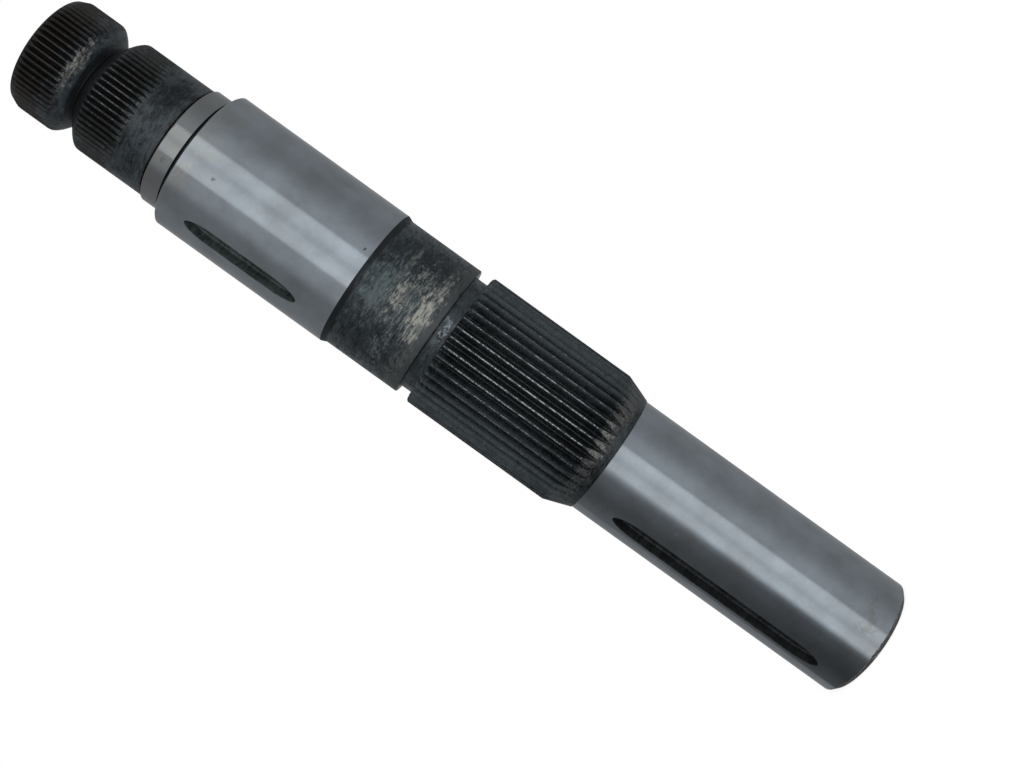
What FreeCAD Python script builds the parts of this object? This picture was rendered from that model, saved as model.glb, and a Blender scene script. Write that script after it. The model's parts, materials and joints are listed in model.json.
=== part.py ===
import FreeCAD, Part
import math
import os

import Sketcher

# Hydraulic main shaft, turned, splined and ground from one bar of steel.
# It stands on its plain foot at Z = 0, with its axis on Z and its splined head on top.
# From the foot up: ground end journal, run-out cone, coarse spline, relief groove, collar,
# ground main journal, undercut, ground band, neck groove, and a fine spline cut by a V groove.
# Both key slots face -Y and have slender ends. All sizes are in millimetres and degrees.

SIZES = {
    # Diameters
    "end_journal_dia": 55.0,
    "cone_foot_dia": 56.2,
    "coarse_dia": 64.4,
    "relief_dia": 56.0,
    "collar_dia": 62.8,
    "journal_dia": 65.0,
    "undercut_dia": 54.6,
    "band_dia": 56.2,
    "neck_groove_dia": 52.8,
    "fine_dia": 54.0,
    # Lengths along the axis, from the foot up
    "foot_bevel": 2.0,
    "end_journal_length": 136.0,
    "cone_length": 12.0,
    "coarse_length": 71.4,
    "coarse_bevel": 0.8,
    "relief_width": 5.8,
    "collar_length": 36.3,
    "journal_bevel": 2.5,
    "journal_length": 85.8,
    "undercut_width": 2.2,
    "band_length": 8.4,
    "neck_groove_width": 0.9,
    "neck_length": 41.65,
    "head_length": 26.05,
    "head_bevel_length": 3.6,
    "head_bevel_height": 1.6,
    "edge_bevel": 0.5,
    # V groove between neck and head. Its shoulders lie flatter than its flanks
    "vee_depth": 8.3,
    "vee_flank_width": 10.7,
    "vee_shoulder_height": 1.9,
    "vee_mouth_width": 15.8,
    # Coarse spline: teeth with straight flanks and flat roots
    "coarse_teeth": 42,
    "coarse_crest": 0.75,
    "coarse_root_flat": 0.7,
    "coarse_gap_angle": 60.0,
    # Fine spline of neck and head: serrations with pointed roots that run out in the neck
    "fine_teeth": 60,
    "fine_crest": 0.8,
    "fine_gap_angle": 60.0,
    "fine_full_depth_end": 46.8,
    "fine_runout_length": 6.0,
    # Key slots, whose ends are half ellipses
    "key_width": 8.0,
    "key_depth": 5.0,
    "slot_end_length": 13.0,
    "journal_slot_length": 56.0,
    "journal_slot_foot": 15.6,
    "end_slot_length": 104.7,
    "end_slot_foot": 15.7,
    # Centre holes in both end faces
    "centre_mouth_dia": 13.2,
    "centre_pilot_dia": 6.3,
    "centre_angle": 60.0,
    "centre_depth": 15.0,
    # How far a cutting profile stands outside the metal that it cuts
    "cut_clearance": 1.0,
}

VOLUME_TOLERANCE = 0.001

doc = FreeCAD.newDocument("hydraulic_main_shaft")


def make_sheet(sizes):
    """Puts each size into a cell that has the size's name as its alias."""
    sheet = doc.addObject("Spreadsheet::Sheet", "Sizes")
    for row, (name, value) in enumerate(sizes.items(), start=1):
        sheet.set("A%d" % row, name)
        sheet.set("B%d" % row, str(value))
        sheet.setAlias("B%d" % row, name)
    doc.recompute()
    return sheet


def cell(name):
    """Returns the expression that reads one size."""
    return "Sizes." + name


def half(name):
    """Returns the expression of half a size."""
    return "Sizes.%s / 2" % name


def total(*names):
    """Returns the expression of the sum of some sizes."""
    return " + ".join("Sizes." + name for name in names)


def value_of(expression):
    """Works out an expression of the sheet as a plain number."""
    return float(sheet.evalExpression(expression.replace("Sizes.", "")))


def origin_feature(body, role):
    """Finds an origin plane or axis of the body by its role."""
    return next(item for item in body.Origin.OriginFeatures if item.Role == role)


def new_sketch(body, name, role):
    """Makes an empty sketch on one of the body's origin planes."""
    sketch = body.newObject("Sketcher::SketchObject", name)
    sketch.AttachmentSupport = [(origin_feature(body, role), "")]
    sketch.MapMode = "FlatFace"
    return sketch


def bind(sketch, constraint, expression):
    """Adds a constraint and binds its value to an expression."""
    index = sketch.addConstraint(constraint)
    sketch.setExpression("Constraints[%d]" % index, expression)


def place_point(sketch, line, end, across, along):
    """Fixes a line's end at two expressions from the sketch's origin. None puts it on that axis."""
    start = sketch.getPoint(line, end)
    if across is None:
        sketch.addConstraint(Sketcher.Constraint("PointOnObject", line, end, -2))
    else:
        bind(sketch, Sketcher.Constraint("DistanceX", -1, 1, line, end, start.x), across)
    if along is None:
        sketch.addConstraint(Sketcher.Constraint("PointOnObject", line, end, -1))
    else:
        bind(sketch, Sketcher.Constraint("DistanceY", -1, 1, line, end, start.y), along)


def add_lines(sketch, points, closed=True):
    """Draws lines through points that are pairs of expressions, or None for a point on an axis."""
    corners = [
        FreeCAD.Vector(0 if x is None else value_of(x), 0 if y is None else value_of(y), 0)
        for x, y in points
    ]
    lines = len(corners) if closed else len(corners) - 1
    for index in range(lines):
        sketch.addGeometry(Part.LineSegment(corners[index], corners[(index + 1) % len(corners)]))
    for index in range(lines if closed else lines - 1):
        sketch.addConstraint(Sketcher.Constraint("Coincident", index, 2, (index + 1) % lines, 1))
    for index, (x, y) in enumerate(points):
        if index < lines:
            place_point(sketch, index, 1, x, y)
        else:
            place_point(sketch, index - 1, 2, x, y)


# Stations along the axis, as expressions of the height above the foot
Z_CONE_FOOT = total("end_journal_length")
Z_COARSE_FOOT = Z_CONE_FOOT + " + " + cell("cone_length")
Z_RELIEF = Z_COARSE_FOOT + " + " + cell("coarse_length")
Z_COLLAR = Z_RELIEF + " + " + cell("relief_width")
Z_BEVEL = Z_COLLAR + " + " + cell("collar_length")
Z_JOURNAL = Z_BEVEL + " + " + cell("journal_bevel")
Z_UNDERCUT = Z_JOURNAL + " + " + cell("journal_length")
Z_BAND = Z_UNDERCUT + " + " + cell("undercut_width")
Z_NECK_GROOVE = Z_BAND + " + " + cell("band_length")
Z_NECK = Z_NECK_GROOVE + " + " + cell("neck_groove_width")
Z_VEE = Z_NECK + " + " + cell("neck_length")
Z_TOP = Z_VEE + " + " + cell("head_length")


def turn_blank(body):
    """Revolves the stepped outline of the bar."""
    sketch = new_sketch(body, "blank_outline", "XZ_Plane")
    add_lines(sketch, [
        (None, None),
        (half("end_journal_dia") + " - " + cell("foot_bevel"), None),
        (half("end_journal_dia"), cell("foot_bevel")),
        (half("end_journal_dia"), Z_CONE_FOOT),
        (half("cone_foot_dia"), Z_CONE_FOOT),
        (half("coarse_dia"), Z_COARSE_FOOT),
        (half("coarse_dia"), Z_RELIEF + " - " + cell("coarse_bevel")),
        (half("coarse_dia") + " - " + cell("coarse_bevel"), Z_RELIEF),
        (half("relief_dia"), Z_RELIEF),
        (half("relief_dia"), Z_COLLAR),
        (half("collar_dia") + " - " + cell("edge_bevel"), Z_COLLAR),
        (half("collar_dia"), Z_COLLAR + " + " + cell("edge_bevel")),
        (half("collar_dia"), Z_BEVEL),
        (half("journal_dia"), Z_JOURNAL),
        (half("journal_dia"), Z_UNDERCUT + " - " + cell("edge_bevel")),
        (half("journal_dia") + " - " + cell("edge_bevel"), Z_UNDERCUT),
        (half("undercut_dia"), Z_UNDERCUT),
        (half("undercut_dia"), Z_BAND),
        (half("band_dia"), Z_BAND),
        (half("band_dia"), Z_NECK_GROOVE),
        (half("neck_groove_dia"), Z_NECK_GROOVE),
        (half("neck_groove_dia"), Z_NECK),
        (half("fine_dia"), Z_NECK),
        (half("fine_dia"), Z_TOP + " - " + cell("head_bevel_length")),
        (half("fine_dia") + " - " + cell("head_bevel_height"), Z_TOP),
        (None, Z_TOP),
    ])
    blank = body.newObject("PartDesign::Revolution", "blank")
    blank.Profile = sketch
    blank.ReferenceAxis = (sketch, ["V_Axis"])
    blank.Angle = 360
    doc.recompute()
    return blank


def cut_round(body, name, points):
    """Cuts a ring or a hole whose half section is a polygon beside the axis."""
    before = body.Shape.Volume
    sketch = new_sketch(body, name + "_section", "XZ_Plane")
    add_lines(sketch, points)
    groove = body.newObject("PartDesign::Groove", name)
    groove.Profile = sketch
    groove.ReferenceAxis = (sketch, ["V_Axis"])
    groove.Angle = 360
    doc.recompute()
    require_cut(body, before, name)
    return groove


def require_cut(body, before, name):
    """Stops the build where a cut has taken no metal away."""
    if body.Shape.Volume > before - VOLUME_TOLERANCE:
        raise RuntimeError("%s cuts nothing" % name)


def cut_vee(body):
    """Cuts the V groove, whose flanks lean out further at the shoulders."""
    lean = "(Sizes.vee_mouth_width - Sizes.vee_flank_width) / 2 / Sizes.vee_shoulder_height"
    flank = half("vee_flank_width")
    outside = "Sizes.vee_mouth_width / 2 + Sizes.cut_clearance * " + lean
    shoulder = half("fine_dia") + " - " + cell("vee_shoulder_height")
    mouth = half("fine_dia") + " + " + cell("cut_clearance")
    cut_round(body, "vee_groove", [
        (half("fine_dia") + " - " + cell("vee_depth"), Z_VEE),
        (shoulder, "%s + %s" % (Z_VEE, flank)),
        (mouth, "%s + %s" % (Z_VEE, outside)),
        (mouth, "%s - (%s)" % (Z_VEE, outside)),
        (shoulder, "%s - %s" % (Z_VEE, flank)),
    ])


def drill_centres(body):
    """Drills a centre hole into each end face, with a sixty degree mouth for the lathe's centre."""
    cone = "(Sizes.centre_mouth_dia - Sizes.centre_pilot_dia) / 2 / tan(Sizes.centre_angle * 1 deg / 2)"
    cut_round(body, "foot_centre", [
        (None, None),
        (half("centre_mouth_dia"), None),
        (half("centre_pilot_dia"), cone),
        (half("centre_pilot_dia"), cell("centre_depth")),
        (None, cell("centre_depth")),
    ])
    cut_round(body, "head_centre", [
        (None, Z_TOP),
        (half("centre_mouth_dia"), Z_TOP),
        (half("centre_pilot_dia"), Z_TOP + " - " + cone),
        (half("centre_pilot_dia"), Z_TOP + " - " + cell("centre_depth")),
        (None, Z_TOP + " - " + cell("centre_depth")),
    ])


def cut_key_slot(body, name, dia, length, foot):
    """Mills a key slot that faces -Y, from a plane that touches the journal.

    Its ends are half ellipses with their long axis on the slot's middle line.
    """
    before = body.Shape.Volume
    sketch = new_sketch(body, name + "_outline", "XZ_Plane")
    sketch.setExpression(".AttachmentOffset.Base.z", half(dia))
    wide = value_of(half("key_width"))
    reach = value_of(cell("slot_end_length"))
    low = value_of(foot) + reach
    high = value_of(foot) + value_of(cell(length)) - reach
    for middle, side in ((high, 1), (low, -1)):
        ellipse = Part.Ellipse(FreeCAD.Vector(0, middle + side * reach, 0),
                               FreeCAD.Vector(-side * wide, middle, 0), FreeCAD.Vector(0, middle, 0))
        sketch.addGeometry(Part.ArcOfEllipse(ellipse, -math.pi / 2, math.pi / 2))
        sketch.addGeometry(Part.LineSegment(FreeCAD.Vector(-side * wide, middle, 0),
                                            FreeCAD.Vector(-side * wide, low + high - middle, 0)))
    for index in range(4):
        sketch.addConstraint(Sketcher.Constraint("Coincident", index, 2, (index + 1) % 4, 1))
    for arc in (0, 2):
        long_axis = sketch.GeometryCount
        sketch.exposeInternalGeometry(arc)
        for end in (1, 2):
            sketch.addConstraint(Sketcher.Constraint("PointOnObject", long_axis, end, -2))
            sketch.addConstraint(Sketcher.Constraint("Horizontal", arc, 3, arc, end))
        bind(sketch, Sketcher.Constraint("Distance", long_axis, 2 * reach),
             "2 * " + cell("slot_end_length"))
        bind(sketch, Sketcher.Constraint("Distance", long_axis + 1, 2 * wide), cell("key_width"))
    bind(sketch, Sketcher.Constraint("DistanceY", -1, 1, 2, 3, low),
         foot + " + " + cell("slot_end_length"))
    bind(sketch, Sketcher.Constraint("DistanceY", 2, 3, 0, 3, high - low),
         cell(length) + " - 2 * " + cell("slot_end_length"))
    slot = body.newObject("PartDesign::Pocket", name)
    slot.Profile = sketch
    slot.Type = "Length"
    slot.setExpression("Length", cell("key_depth"))
    doc.recompute()
    require_cut(body, before, name)
    return slot


def half_mouth(prefix):
    """Returns the expression of half a tooth gap's width between the crests."""
    return "(pi * Sizes.{0}_dia / Sizes.{0}_teeth - Sizes.{0}_crest) / 2".format(prefix)


def gap_slope(prefix):
    """Returns the expression of how far a gap's flank leans out for each millimetre of height."""
    return "tan(Sizes.%s_gap_angle * 1 deg / 2)" % prefix


def mouth_corners(prefix):
    """Returns the two corners of a tooth gap's section that stand outside the metal, towards -Y."""
    outside = "%s + Sizes.cut_clearance * %s" % (half_mouth(prefix), gap_slope(prefix))
    mouth = "-(%s + %s)" % (half(prefix + "_dia"), cell("cut_clearance"))
    return [(outside, mouth), ("-(%s)" % outside, mouth)]


def pattern_gaps(body, name, cut, teeth):
    """Repeats a tooth gap round the axis."""
    pattern = body.newObject("PartDesign::PolarPattern", name)
    pattern.Originals = [cut]
    pattern.Axis = (origin_feature(body, "Z_Axis"), [""])
    pattern.Angle = 360
    pattern.setExpression("Occurrences", cell(teeth))
    body.Tip = pattern
    doc.recompute()
    return pattern


def cut_coarse_spline(body):
    """Cuts the coarse teeth from the relief groove down, so that their gaps fade out on the cone.

    The gaps have flat roots. The first one is turned by half a pitch, which puts a tooth in
    line with the key slots.
    """
    before = body.Shape.Volume
    flat = half("coarse_root_flat")
    depth = "(%s - %s) / %s" % (half_mouth("coarse"), flat, gap_slope("coarse"))
    root = "-(%s - %s)" % (half("coarse_dia"), depth)
    sketch = new_sketch(body, "coarse_gap_section", "XY_Plane")
    add_lines(sketch, [("-(%s)" % flat, root), (flat, root)] + mouth_corners("coarse"))
    half_pitch = "180 / Sizes.coarse_teeth"
    sketch.AttachmentOffset = FreeCAD.Placement(
        FreeCAD.Vector(0, 0, 1), FreeCAD.Rotation(FreeCAD.Vector(0, 0, 1), value_of(half_pitch)))
    sketch.setExpression(".AttachmentOffset.Base.z", Z_RELIEF + " + " + half("relief_width"))
    sketch.setExpression(".AttachmentOffset.Rotation.Angle", half_pitch)
    gap = body.newObject("PartDesign::Pocket", "coarse_gap")
    gap.Profile = sketch
    gap.Type = "Length"
    gap.setExpression("Length", total("coarse_length", "cone_length"))
    doc.recompute()
    require_cut(body, before, "coarse_gap")
    return pattern_gaps(body, "coarse_teeth", gap, "coarse_teeth")


def cut_fine_spline(body):
    """Cuts the fine teeth from the top. Their pointed gaps grow shallow on a run-out in the neck."""
    before = body.Shape.Volume
    depth = "%s / %s" % (half_mouth("fine"), gap_slope("fine"))
    root = "-(%s - %s)" % (half("fine_dia"), depth)
    outside = "-(%s + %s)" % (half("fine_dia"), cell("cut_clearance"))
    start = Z_TOP + " + " + cell("cut_clearance")
    full_depth = Z_TOP + " - " + cell("fine_full_depth_end")
    runout = "Sizes.fine_runout_length * (1 + Sizes.cut_clearance / (%s))" % depth
    section = new_sketch(body, "fine_gap_section", "XY_Plane")
    add_lines(section, [(None, root)] + mouth_corners("fine"))
    section.setExpression(".AttachmentOffset.Base.z", start)
    path = new_sketch(body, "fine_gap_path", "YZ_Plane")
    add_lines(path, [(root, start), (root, full_depth), (outside, full_depth + " - " + runout)],
              closed=False)
    gap = body.newObject("PartDesign::SubtractivePipe", "fine_gap")
    gap.Profile = section
    gap.Spine = (path, ["Edge1", "Edge2"])
    doc.recompute()
    require_cut(body, before, "fine_gap")
    return pattern_gaps(body, "fine_teeth", gap, "fine_teeth")


def check_document():
    """Stops the build where an object has failed or a body has no sound solid."""
    for item in doc.Objects:
        if "Invalid" in item.State or "Error" in item.State:
            raise RuntimeError("%s failed: %s" % (item.Name, item.State))
    for body in bodies:
        if body.Shape.isNull() or not body.Shape.isValid():
            raise RuntimeError("%s has no sound solid" % body.Label)


sheet = make_sheet(SIZES)
shaft = doc.addObject("PartDesign::Body", "main_shaft")
shaft.Label = "main_shaft"
shaft.Placement = FreeCAD.Placement()
bodies = [shaft]

turn_blank(shaft)
cut_vee(shaft)
drill_centres(shaft)
cut_key_slot(shaft, "journal_slot", "journal_dia", "journal_slot_length",
             Z_JOURNAL + " + " + cell("journal_slot_foot"))
cut_key_slot(shaft, "end_slot", "end_journal_dia", "end_slot_length", cell("end_slot_foot"))
cut_coarse_spline(shaft)
cut_fine_spline(shaft)

doc.recompute()
check_document()
os.makedirs("parts", exist_ok=True)
for body in bodies:
    body.Shape.exportStep("parts/%s.step" % body.Label)
    print("%s: %d solid, %.0f mm3, %d faces" % (
        body.Label, len(body.Shape.Solids), body.Shape.Volume, len(body.Shape.Faces)))
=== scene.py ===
import json
import logging
import math
from collections.abc import Sequence
from dataclasses import dataclass, field
from enum import Enum

import bpy
import numpy as np
from mathutils import Matrix, Vector


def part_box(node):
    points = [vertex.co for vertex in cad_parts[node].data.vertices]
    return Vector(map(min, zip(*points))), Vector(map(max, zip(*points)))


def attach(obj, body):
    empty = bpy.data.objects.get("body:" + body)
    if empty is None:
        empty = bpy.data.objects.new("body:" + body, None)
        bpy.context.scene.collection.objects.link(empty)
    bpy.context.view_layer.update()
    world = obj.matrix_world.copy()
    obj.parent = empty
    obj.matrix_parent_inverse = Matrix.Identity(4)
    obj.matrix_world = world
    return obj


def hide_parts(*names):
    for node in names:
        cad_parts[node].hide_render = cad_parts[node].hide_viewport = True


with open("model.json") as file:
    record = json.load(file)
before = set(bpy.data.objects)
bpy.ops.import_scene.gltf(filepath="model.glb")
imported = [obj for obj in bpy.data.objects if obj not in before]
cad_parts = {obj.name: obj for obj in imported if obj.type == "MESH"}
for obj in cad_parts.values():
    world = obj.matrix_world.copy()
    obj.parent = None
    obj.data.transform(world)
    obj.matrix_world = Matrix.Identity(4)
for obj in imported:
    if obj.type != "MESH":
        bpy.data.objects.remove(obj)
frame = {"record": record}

# Hydraulic main shaft: one bar of steel, turned, splined, heat treated and ground.
# It stands on its foot with its axis on Z. Both key slots face -Y. All sizes are in millimetres
# until a mesh, a lamp or the camera is made, which take metres.
# An angle round the axis starts at the key line, -Y, and grows towards +X.

MM = 0.001
SHARP_ANGLE = math.radians(32)
# Two sizes that are nearer to each other than this are one.
NEAR = 1e-6
# How far up a tooth a point lies: 0 at the root, up to FLANK_TOP on a flank, CREST_EDGE beside the
# crest's middle and 1 along it. PLAIN is a surface without teeth: it gets none of the painted shade
# of a gap, nor is it rubbed, as a crest is.
FLANK_TOP = 0.95
PLAIN = 0.97
CREST_EDGE = 0.975
LOG = logging.getLogger("main_shaft")


class Skin(Enum):
    """The finishes that a stretch of the shaft can have, as slots of its mesh."""

    GROUND = 0
    SCALE = 1
    SLOT = 2


# Shapes


def round_axis(radius: np.ndarray, height: np.ndarray, angle: np.ndarray) -> np.ndarray:
    """Places points round the axis: x = r sin a, y = -r cos a, z = height.

    Args:
        radius: distances from the axis, rows by columns or one that spreads to them.
        height: heights above the foot, alike.
        angle: one angle for each column.

    Returns:
        An array of rows by columns by three.
    """
    radius, height, angle = np.broadcast_arrays(radius, height, angle)
    return np.stack([radius * np.sin(angle), -radius * np.cos(angle), height], axis=-1)


def softened(corners: Sequence[tuple[float, float, float]], steps: int = 4) -> np.ndarray:
    """Rounds the corners of a turned outline.

    Each corner becomes an arc that touches both of its sides: it starts and ends at the rounding
    times the tangent of half the turn, and its points share the turn evenly. A point just past
    each end of the arc keeps the sides' shading flat.

    Args:
        corners: height, radius and rounding of each corner, from the foot up.
        steps: how many chords an arc has.

    Returns:
        Rows of height and radius.
    """
    side_share, guard_reach, least_guard = 0.45, 0.3, 0.02
    rows = [np.array([corners[0][:2]])]
    for before, corner, after in zip(corners, corners[1:], corners[2:]):
        here = np.array(corner[:2])
        to_before = np.array(before[:2]) - here
        to_after = np.array(after[:2]) - here
        room = min(np.hypot(*to_before), np.hypot(*to_after)) * side_share
        to_before /= np.hypot(*to_before)
        to_after /= np.hypot(*to_after)
        turn = math.pi - math.acos(float(np.clip(to_before @ to_after, -1, 1)))
        if corner[2] <= 0 or turn < 1e-3:
            rows.append(here[None])
            continue
        reach = min(corner[2] * math.tan(turn / 2), room)
        radius = reach / math.tan(turn / 2)
        inward = to_before + to_after
        middle = here + inward * radius / math.cos(turn / 2) / np.hypot(*inward)
        start = here + to_before * reach - middle
        end = here + to_after * reach - middle
        share = np.linspace(0, 1, steps + 1)[:, None]
        arc = (np.sin((1 - share) * turn) * start + np.sin(share * turn) * end) / math.sin(turn) + middle
        guard = min(guard_reach, room - reach)
        if guard > least_guard:
            arc = np.vstack([here + to_before * (reach + guard), arc, here + to_after * (reach + guard)])
        rows.append(arc)
    rows.append(np.array([corners[-1][:2]]))
    return np.concatenate(rows)


def set_levels(mesh: bpy.types.Mesh, name: str, levels: np.ndarray) -> None:
    """Gives a mesh an attribute with one number for each of its points.

    Args:
        mesh: the mesh.
        name: the attribute's name, which a material reads.
        levels: the numbers, in the points' order.
    """
    attribute = mesh.attributes.new(name, "FLOAT", "POINT")
    attribute.data.foreach_set("value", levels.ravel().astype(np.float32))


@dataclass
class Surface:
    """One closed skin, collected strip by strip. Its faces look away from the metal."""

    points: list[np.ndarray] = field(default_factory=list)
    tooth: list[np.ndarray] = field(default_factory=list)
    quads: list[np.ndarray] = field(default_factory=list)
    skins: list[np.ndarray] = field(default_factory=list)
    caps: list[tuple[list[int], Skin]] = field(default_factory=list)
    count: int = 0

    def add_points(self, grid: np.ndarray, tooth: np.ndarray | float = PLAIN) -> np.ndarray:
        """Adds a grid of points in millimetres.

        Args:
            grid: points, with three numbers in the last axis.
            tooth: how far up a tooth each point lies, or PLAIN.

        Returns:
            The points' numbers, in the grid's form.
        """
        shape = grid.shape[:-1]
        numbers = np.arange(self.count, self.count + math.prod(shape)).reshape(shape)
        self.points.append(grid.reshape(-1, 3))
        self.tooth.append(np.broadcast_to(tooth, shape).reshape(-1).astype(float))
        self.count += math.prod(shape)
        return numbers

    def add_rows(self, numbers: np.ndarray, skin: Skin | np.ndarray, keep: np.ndarray | None = None) -> None:
        """Joins each row of points to the next, all the way round.

        Args:
            numbers: rows by columns of point numbers. Columns run with the angle, and rows run
                from the foot's middle out, up and in again to the head's middle.
            skin: the finish, or one for each pair of rows.
            keep: which faces are made, where some are left open.
        """
        right = np.roll(numbers, -1, axis=1)
        quads = np.stack([numbers[:-1], right[:-1], right[1:], numbers[1:]], axis=-1)
        value = skin.value if isinstance(skin, Skin) else np.asarray(skin)[:, None]
        skins = np.broadcast_to(value, quads.shape[:2])
        chosen = np.ones(quads.shape[:2], bool) if keep is None else keep
        self.quads.append(quads[chosen])
        self.skins.append(skins[chosen])

    def add_cap(self, loop: np.ndarray, skin: Skin, down: bool = False) -> None:
        """Closes a flat loop of point numbers with one face, which looks down where down is set."""
        self.caps.append((loop[::-1].tolist() if down else loop.tolist(), skin))

    def add_stations(self, stations: Sequence[tuple], angles: np.ndarray) -> None:
        """Adds a closed stretch of scale, whose columns pass each station at a place of their own.

        Args:
            stations: height, radius and tooth height at each station, from the foot's face to the
                head's. Each of them is one number, or one for each column.
            angles: the angle of each column.
        """
        heights, radii, tooth = (
            np.stack([np.broadcast_to(station[i], angles.shape) for station in stations]) for i in range(3))
        numbers = self.add_points(round_axis(radii, heights, angles), tooth)
        self.add_rows(numbers, Skin.SCALE)
        self.add_cap(numbers[0], Skin.SCALE, down=True)
        self.add_cap(numbers[-1], Skin.SCALE)

    def finish(self, name: str, materials: Sequence[bpy.types.Material]) -> bpy.types.Object:
        """Makes the mesh and its object, which sits at the origin.

        Args:
            name: the piece's name.
            materials: one material for each value of Skin.

        Returns:
            The piece, riding on the shaft's body in the place of the plain solid.
        """
        quads = np.concatenate(self.quads)
        skins = np.concatenate(self.skins + [np.array([cap[1].value for cap in self.caps], int)])
        mesh = bpy.data.meshes.new(name)
        faces = quads.tolist() + [cap[0] for cap in self.caps]
        mesh.from_pydata(np.concatenate(self.points) * MM, [], faces)
        used = sorted(set(skins.tolist()))
        for value in used:
            mesh.materials.append(materials[value])
        slots = np.searchsorted(used, skins).astype(np.int32)
        mesh.polygons.foreach_set("material_index", slots)
        set_levels(mesh, "tooth", np.concatenate(self.tooth))
        mesh.shade_smooth()
        mesh.set_sharp_from_angle(angle=SHARP_ANGLE)
        piece = bpy.data.objects.new(name, mesh)
        bpy.context.scene.collection.objects.link(piece)
        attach(piece, "root")
        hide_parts("main_shaft")
        LOG.info("%s: %d faces", name, len(faces))
        return piece


@dataclass(frozen=True)
class KeySlot:
    """A slot for a key, milled from -Y. Its ends are half ellipses, long along the shaft.

    The margin is the distance from its outline to the frame of grid points round it, which has
    so many rows at each end and between them. The lip is a broken edge, and a quarter circle
    leads from the wall to the floor, whose last face starts at an inset from its edge.
    """

    low: float
    high: float
    width: float = 8.0
    end_length: float = 13.0
    depth: float = 5.0
    lip: float = 0.2
    floor_rounding: float = 0.9
    floor_inset: float = 1.8
    margin: float = 2.9
    end_rows: int = 15
    middle_rows: int = 12

    def rows(self) -> np.ndarray:
        """Places the grid rows that frame the slot, close together where its ends start.

        From an end, a row lies at end (1 - cos t), with t spread evenly over a quarter turn.

        Returns:
            Heights of the rows, from the foot up.
        """
        end = self.end_length + self.margin
        close = end * np.sin(np.linspace(0, math.pi / 2, self.end_rows)[1:])
        close = np.concatenate([[0.0], end - close[-2::-1], [end]])
        foot = self.low - self.margin
        head = self.high + self.margin
        middle = np.linspace(foot + end, head - end, self.middle_rows)[1:-1]
        return np.concatenate([foot + close, middle, head - close[::-1]])

    def sink(self, surface: Surface, window: np.ndarray, radius: float) -> None:
        """Fills a window of a journal's grid with the slot.

        Each point of the window's frame looks towards the nearest point of the slot's middle line.
        In that way (x, z) an end's outline lies 1 / hypot(x / half width, z / end length) from the
        middle line. The point is led there over the journal, then down the wall and over the floor.

        Args:
            surface: the journal's skin.
            window: the numbers of the frame's points, anticlockwise from outside.
            radius: the journal's radius.
        """
        frame_points = np.concatenate(surface.points)[window]
        across, along = frame_points[:, 0], frame_points[:, 2]
        half = self.width / 2
        middle = np.clip(along, self.low + self.end_length, self.high - self.end_length)
        length = np.hypot(across, along - middle)
        way_x, way_z = across / length, (along - middle) / length

        def outline(offset: float) -> np.ndarray:
            """Distances from the middle line to the outline that lies outside it by an offset."""
            return 1 / np.hypot(way_x / (half + offset), way_z / (self.end_length + offset))

        def on_journal(reach: np.ndarray, drop: float = 0.0) -> np.ndarray:
            """Points over the journal's round surface at distances from the middle line."""
            side = way_x * reach
            return np.stack([side, -np.sqrt(radius ** 2 - side ** 2) + drop, middle + way_z * reach], axis=-1)

        def at_depth(reach: np.ndarray, y: float) -> np.ndarray:
            """Points at one depth at distances from the middle line."""
            return np.stack([way_x * reach, np.full_like(reach, y), middle + way_z * reach], axis=-1)

        edge = outline(self.lip)
        shares = (0.35, 0.7, 0.9, 1.0)
        loops = [on_journal(length + (edge - length) * share) for share in shares]
        loops.append(on_journal(outline(0.0), self.lip))
        floor = -(radius - self.depth)
        rounding = self.floor_rounding
        for turn in np.radians(np.linspace(0, 90, 5)):
            loops.append(at_depth(outline(-rounding * (1 - math.cos(turn))),
                                  floor - rounding * (1 - math.sin(turn))))
        loops.append(at_depth(outline(-self.floor_inset), floor))
        numbers = np.concatenate([window[None], surface.add_points(np.stack(loops))])
        skins = np.full(len(numbers) - 1, Skin.SLOT.value)
        skins[:len(shares)] = Skin.GROUND.value
        surface.add_rows(numbers, skins)
        surface.add_cap(numbers[-1], Skin.SLOT)


@dataclass(frozen=True)
class CentreHole:
    """A 60 degree centre hole with its pilot, for the lathe's centre."""

    mouth: float = 6.6
    pilot: float = 3.15
    depth: float = 15.0
    half_angle: float = math.radians(30)

    def corners(self, face: float, inward: float) -> list[tuple[float, float, float]]:
        """Draws the hole from the pilot's bottom to the mouth.

        Args:
            face: height of the shaft's end face.
            inward: 1 where the hole runs up from the face and -1 where it runs down.

        Returns:
            Height, radius and rounding of each corner.
        """
        cone = (self.mouth - self.pilot) / math.tan(self.half_angle)
        return [
            (face + inward * self.depth, self.pilot, 0.0),
            (face + inward * cone, self.pilot, 0.2),
            (face, self.mouth, 0.3),
        ]


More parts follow.
